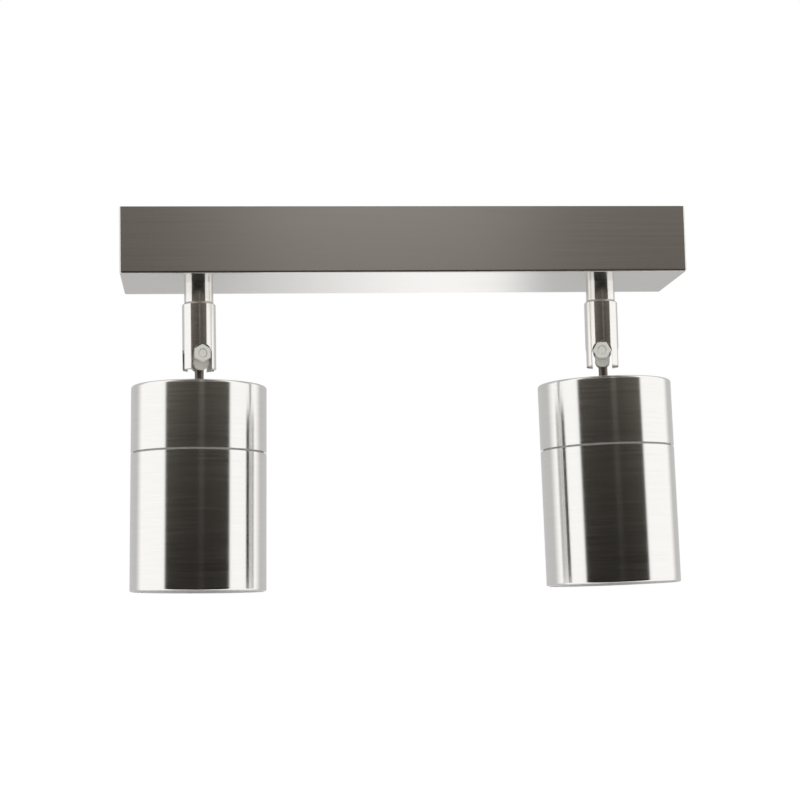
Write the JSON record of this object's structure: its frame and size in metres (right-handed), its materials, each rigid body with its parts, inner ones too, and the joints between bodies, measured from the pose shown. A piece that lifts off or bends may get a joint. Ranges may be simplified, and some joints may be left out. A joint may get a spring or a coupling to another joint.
{
  "type": "pivoting spotlight wall light",
  "caption": "Brushed box-section spotlight bar whose tubular arms swivel on the base and end in tilting cylindrical lamp heads.",
  "frame": {"origin": "centre of the mounting face of the base, on the wall or ceiling that carries it", "axes": "+Z out of the mounting face into the wall or ceiling, so the arms hang toward -Z; +X along the base; -Y toward the viewer of the picture, where the pivot nuts face"},
  "size_m": [0.25, 0.0603, 0.1672],
  "materials": {
    "cover_steel": "brushed lengthwise, satin",
    "turned_steel": "fine brushed, near polished",
    "head_steel": "fine brushed round the barrel, near polished",
    "fork_steel": "satin, cast and tumbled",
    "stem_steel": "black oxide",
    "screw_steel": "bright nickel plate",
    "zinc_steel": "zinc plate",
    "spring_steel": "plain spring steel",
    "brass": "turned",
    "tinned_copper": "tinned",
    "pin_metal": "nickel plate",
    "terminal_plastic": "moulded, satin",
    "washer_plastic": "nylon",
    "grommet_rubber": "matt",
    "ceramic": "unglazed ceramic",
    "lamp_plastic": "white moulded lamp body",
    "lamp_lens": "clear, lightly frosted",
    "lead_brown": "sleeved lead",
    "lead_blue": "sleeved lead",
    "lead_earth": "green and yellow sleeved lead",
    "lead_white": "heat-proof sleeved lead"
  },
  "bodies": {
    "base": {"base_cover": "cover_steel", "wall_bracket": "zinc_steel", "cover_screws": "screw_steel", "cable_grommet": "grommet_rubber", "terminal_block": "terminal_plastic", "terminal_tubes": "brass", "terminal_screws": "screw_steel", "terminal_block_screws": "screw_steel", "earth_lug": "tinned_copper", "earth_screw": "screw_steel", "base_live_leads": "lead_brown", "base_neutral_leads": "lead_blue", "earth_lead": "lead_earth", "left_ferrule": "turned_steel", "left_swivel_nipple": "brass", "right_ferrule": "turned_steel", "right_swivel_nipple": "brass", "swivel_lock_nuts": "brass", "swivel_lock_washers": "spring_steel", "swivel_collars": "brass", "swivel_wave_washers": "spring_steel"},
    "left_arm": {"left_arm_tube": "turned_steel", "left_pivot_fork": "fork_steel", "left_pivot_bolt": "screw_steel", "left_pivot_nut": "screw_steel", "left_pivot_washers": "washer_plastic", "left_arm_leads": "lead_white"},
    "left_head": {"left_tilt_stem": "stem_steel", "left_stem_washer": "zinc_steel", "left_stem_nut": "screw_steel", "left_head_cap": "head_steel", "left_head_sleeve": "head_steel", "left_holder_bracket": "zinc_steel", "left_lamp_holder": "ceramic", "left_holder_contacts": "tinned_copper", "left_holder_screws": "screw_steel", "left_lamp_body": "lamp_plastic", "left_lamp_lens": "lamp_lens", "left_lamp_pins": "pin_metal", "left_head_leads": "lead_white"},
    "right_arm": {"right_arm_tube": "turned_steel", "right_pivot_fork": "fork_steel", "right_pivot_bolt": "screw_steel", "right_pivot_nut": "screw_steel", "right_pivot_washers": "washer_plastic", "right_arm_leads": "lead_white"},
    "right_head": {"right_tilt_stem": "stem_steel", "right_stem_washer": "zinc_steel", "right_stem_nut": "screw_steel", "right_head_cap": "head_steel", "right_head_sleeve": "head_steel", "right_holder_bracket": "zinc_steel", "right_lamp_holder": "ceramic", "right_holder_contacts": "tinned_copper", "right_holder_screws": "screw_steel", "right_lamp_body": "lamp_plastic", "right_lamp_lens": "lamp_lens", "right_lamp_pins": "pin_metal", "right_head_leads": "lead_white"}
  },
  "joints": [
    {"name": "left_swivel", "type": "hinge", "parent": "base", "child": "left_arm", "pos_m": [-0.091, 0, -0.0617], "axis": [0, 0, 1], "range_deg": [-132, 108]},
    {"name": "left_tilt", "type": "hinge", "parent": "left_arm", "child": "left_head", "pos_m": [-0.091, 0, -0.0617], "axis": [-0.2079, 0.9781, 0], "range_deg": [-90.8, 89.2]},
    {"name": "right_swivel", "type": "hinge", "parent": "base", "child": "right_arm", "pos_m": [0.091, 0, -0.0617], "axis": [0, 0, 1], "range_deg": [-109, 131]},
    {"name": "right_tilt", "type": "hinge", "parent": "right_arm", "child": "right_head", "pos_m": [0.091, 0, -0.0617], "axis": [0.1908, 0.9816, 0], "range_deg": [-89, 91]}
  ]
}
